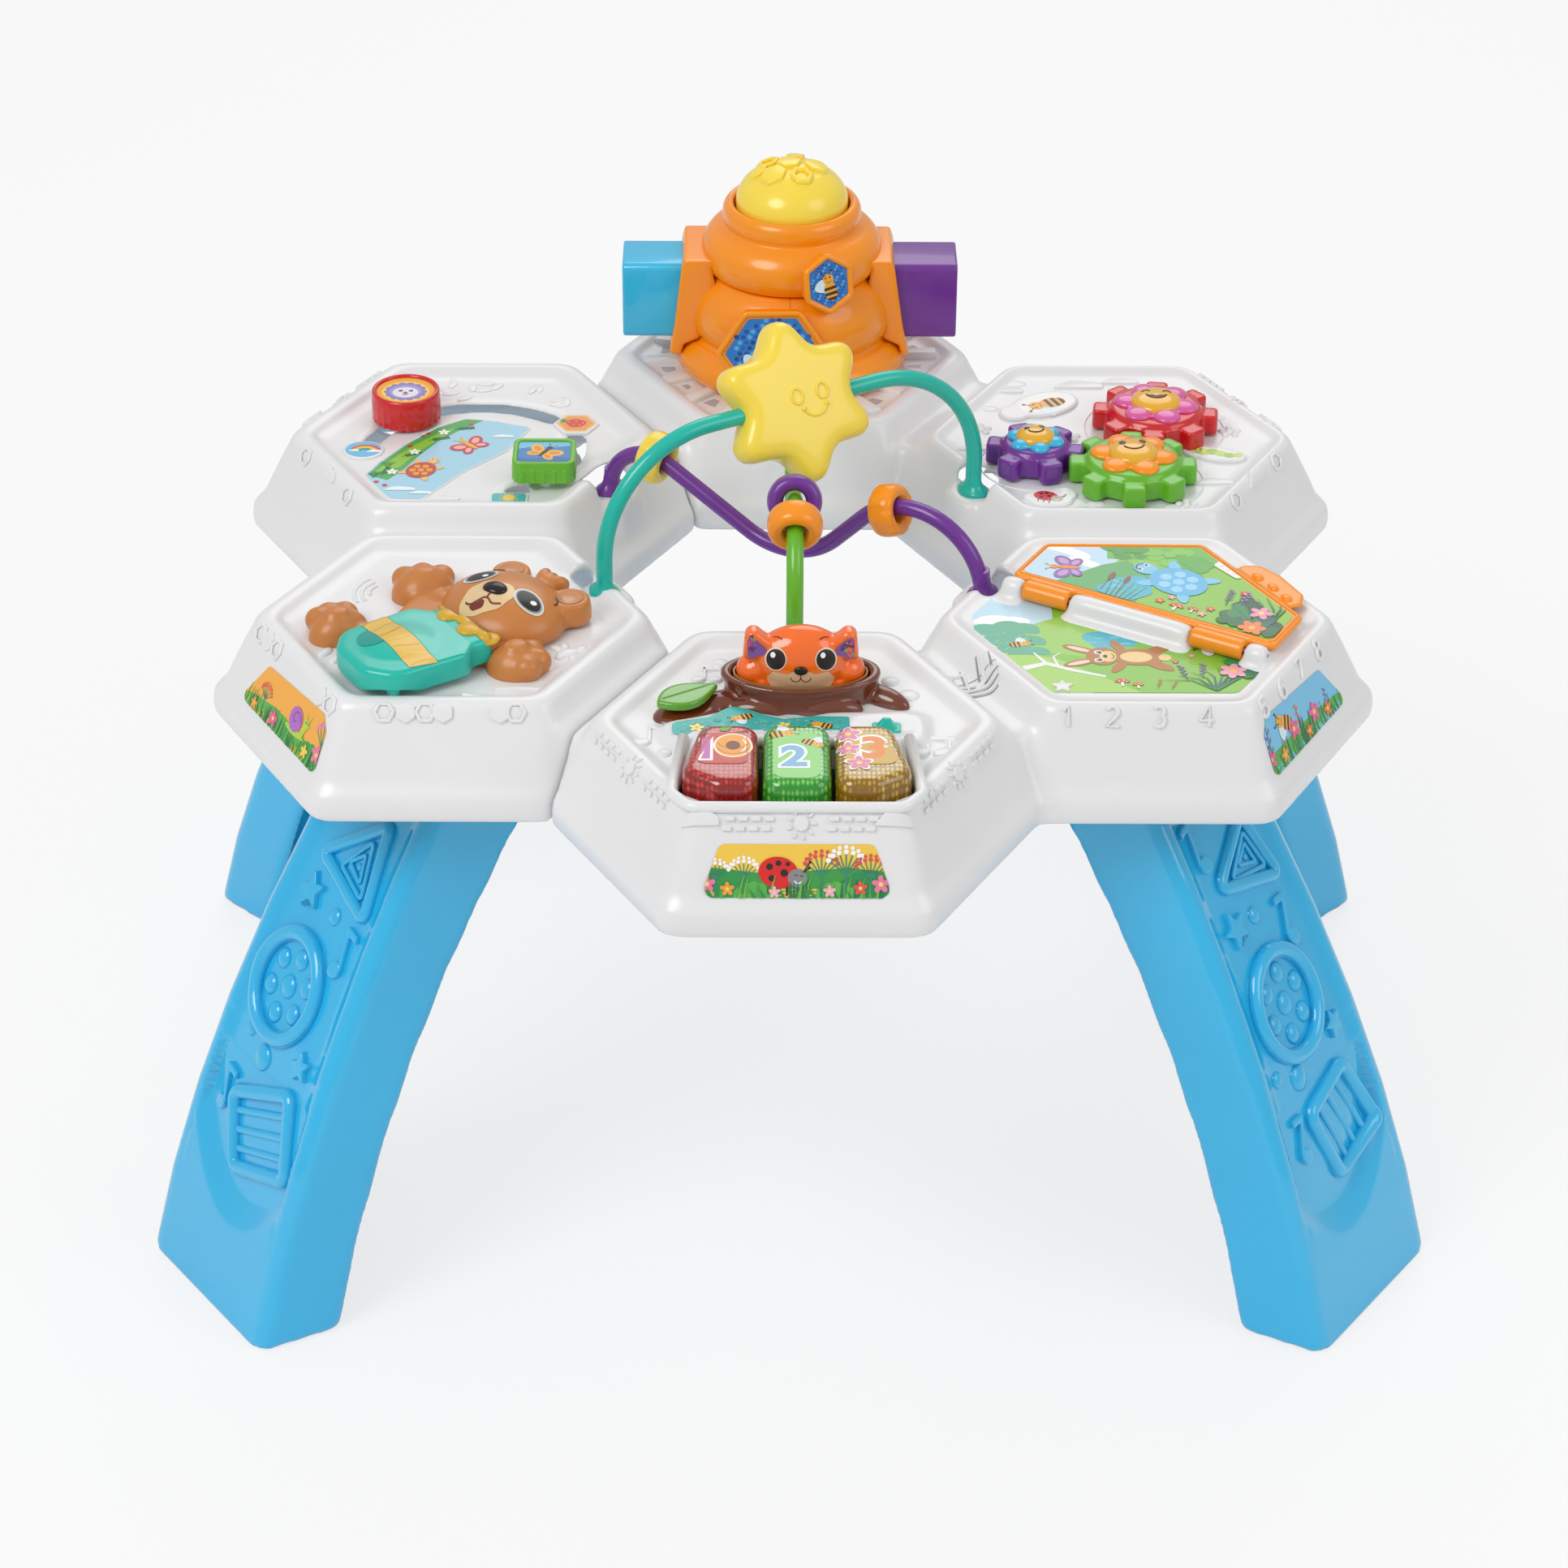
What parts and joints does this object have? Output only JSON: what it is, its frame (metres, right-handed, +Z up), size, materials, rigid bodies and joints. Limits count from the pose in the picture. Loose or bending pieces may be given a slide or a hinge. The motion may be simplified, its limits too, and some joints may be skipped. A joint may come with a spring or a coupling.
{
  "type": "musical activity table",
  "caption": "Child's round activity table with hexagonal play cells, bead arches over an open middle, a beehive, gears, a book, light-up keys and four arched legs",
  "frame": {"origin": "floor under the middle of the ring", "axes": "+X to the right of the key panel, +Z up, the key panel faces -Y"},
  "size_m": [0.7072, 0.6426, 0.487],
  "materials": {
    "white": "moulded, gloss",
    "blue": "moulded, gloss",
    "teal": "moulded, gloss",
    "purple": "moulded, gloss",
    "green": "moulded, gloss",
    "pale_yellow": "moulded, gloss",
    "orange": "moulded, gloss",
    "fox_orange": "moulded, gloss",
    "leaf_green": "moulded, gloss",
    "clear_red": "translucent, gloss",
    "clear_green": "translucent, gloss",
    "clear_amber": "translucent, gloss",
    "brown": "moulded, gloss",
    "board": "printed circuit board",
    "mat": "moulded, matt",
    "steel": "plain",
    "red": "moulded, gloss",
    "pink": "moulded, gloss",
    "sky": "moulded, gloss",
    "gold": "moulded, gloss",
    "bear_brown": "moulded, satin"
  },
  "bodies": {
    "table": {"front_shell": "white", "left_shell": "white", "back_shell": "white", "leg_back_right": "blue", "leg_back_left": "blue", "leg_front_right": "blue", "leg_front_left": "blue", "teal_arch": "teal", "purple_arch": "purple", "green_arch": "green", "tree_stump": "brown", "circuit_board": "board", "key_contact_mat": "mat", "speaker": "steel", "base_cover": "white", "battery_door": "white", "battery_cells": "steel", "gear_screws": "steel", "hinge_pin": "steel", "bear_head": "bear_brown", "bear_body": "bear_brown", "hive_left_half": "orange", "hive_right_half": "orange", "hive_crown": "orange", "hive_left_port": "orange", "hive_right_port": "orange", "leg_screws": "steel", "cover_screws": "steel", "board_screws": "steel", "hive_screws": "steel"},
    "star": {"star_spinner": "pale_yellow"},
    "yellow_bead": {"yellow_bead": "pale_yellow"},
    "ridged_bead": {"ridged_bead": "orange"},
    "orange_bead": {"orange_bead": "orange"},
    "purple_bead": {"purple_bead": "purple"},
    "key_one": {"key_one": "clear_red"},
    "key_two": {"key_two": "clear_green"},
    "key_three": {"key_three": "clear_amber"},
    "fox": {"fox_button": "fox_orange"},
    "leaf": {"leaf_button": "leaf_green"},
    "switch": {"volume_switch": "teal"},
    "red_gear": {"red_gear": "red", "pink_petals": "pink", "red_gear_face": "gold"},
    "green_gear": {"green_gear": "green", "orange_petals": "orange", "green_gear_face": "gold"},
    "purple_gear": {"purple_gear": "purple", "blue_petals": "sky", "purple_gear_face": "gold"},
    "red_knob": {"red_slider_knob": "red", "red_slider_keeper": "white"},
    "green_knob": {"green_slider_knob": "green", "green_slider_keeper": "white"},
    "page": {"book_page": "orange"},
    "pot": {"honey_pot": "teal"},
    "hive_dome": {"hive_dome_button": "pale_yellow"},
    "block": {"blue_block": "sky", "violet_block": "purple"}
  },
  "joints": [
    {"name": "star_spin", "type": "hinge", "parent": "table", "child": "star", "pos_m": [0, 0, 0.437], "axis": [0.866, 0.5, 0], "continuous": true},
    {"name": "yellow_bead_slide", "type": "hinge", "parent": "table", "child": "yellow_bead", "pos_m": [-0.07924, 0.04575, 0.3555], "axis": [-0.5, -0.866, 0], "range_deg": [-4, 58]},
    {"name": "ridged_bead_slide", "type": "hinge", "parent": "table", "child": "ridged_bead", "pos_m": [0.06287, -0.0363, 0.3451], "axis": [-0.5, -0.866, 0], "range_deg": [-68, 18]},
    {"name": "orange_bead_slide", "type": "hinge", "parent": "table", "child": "orange_bead", "pos_m": [0, -0.077, 0.3734], "axis": [1, 0, 0], "range_deg": [-3, 48]},
    {"name": "purple_bead_slide", "type": "hinge", "parent": "table", "child": "purple_bead", "pos_m": [0, -0.077, 0.3734], "axis": [1, 0, 0], "range_deg": [-10, 10]},
    {"name": "key_one_press", "type": "slide", "parent": "table", "child": "key_one", "axis": [0, 0, -1], "range_m": [0, 0.0025], "stiffness_N_per_m": 400},
    {"name": "key_two_press", "type": "slide", "parent": "table", "child": "key_two", "axis": [0, 0, -1], "range_m": [0, 0.0025], "stiffness_N_per_m": 400},
    {"name": "key_three_press", "type": "slide", "parent": "table", "child": "key_three", "axis": [0, 0, -1], "range_m": [0, 0.0025], "stiffness_N_per_m": 400},
    {"name": "fox_press", "type": "slide", "parent": "table", "child": "fox", "axis": [0, 0, -1], "range_m": [0, 0.004], "stiffness_N_per_m": 500},
    {"name": "leaf_press", "type": "slide", "parent": "table", "child": "leaf", "axis": [0, 0, -1], "range_m": [0, 0.0018], "stiffness_N_per_m": 500},
    {"name": "pot_press", "type": "slide", "parent": "table", "child": "pot", "axis": [0, 0, -1], "range_m": [0, 0.003], "stiffness_N_per_m": 600},
    {"name": "hive_dome_press", "type": "slide", "parent": "table", "child": "hive_dome", "axis": [0, 0, -1], "range_m": [0, 0.005], "stiffness_N_per_m": 600},
    {"name": "switch_slide", "type": "slide", "parent": "table", "child": "switch", "axis": [1, 0, 0], "range_m": [-0.0045, 0.0045]},
    {"name": "green_gear_spin", "type": "hinge", "parent": "table", "child": "green_gear", "pos_m": [0.19003, 0.057, 0.368], "axis": [0, 0, 1], "continuous": true},
    {"name": "red_gear_spin", "type": "hinge", "parent": "table", "child": "red_gear", "pos_m": [0.20746, 0.11941, 0.368], "axis": [0, 0, 1], "continuous": true},
    {"name": "purple_gear_spin", "type": "hinge", "parent": "table", "child": "purple_gear", "pos_m": [0.13645, 0.07555, 0.368], "axis": [0, 0, 1], "continuous": true},
    {"name": "red_knob_slide", "type": "hinge", "parent": "table", "child": "red_knob", "pos_m": [-0.17773, 0.0804, 0.363], "axis": [0, 0, 1], "range_deg": [-60, 20]},
    {"name": "green_knob_slide", "type": "hinge", "parent": "table", "child": "green_knob", "pos_m": [-0.18003, 0.0961, 0.363], "axis": [0, 0, 1], "range_deg": [-15, 46]},
    {"name": "page_turn", "type": "hinge", "parent": "table", "child": "page", "pos_m": [0.17613, -0.11093, 0.3675], "axis": [0.866, -0.5, 0], "range_deg": [0, 180]},
    {"name": "block_slide", "type": "slide", "parent": "table", "child": "block", "axis": [1, 0, 0], "range_m": [-0.03, 0.03]}
  ],
  "couplings": [
    {"joint": "red_gear_spin", "follows": "green_gear_spin", "ratio": -1},
    {"joint": "purple_gear_spin", "follows": "green_gear_spin", "ratio": -1.3333}
  ]
}
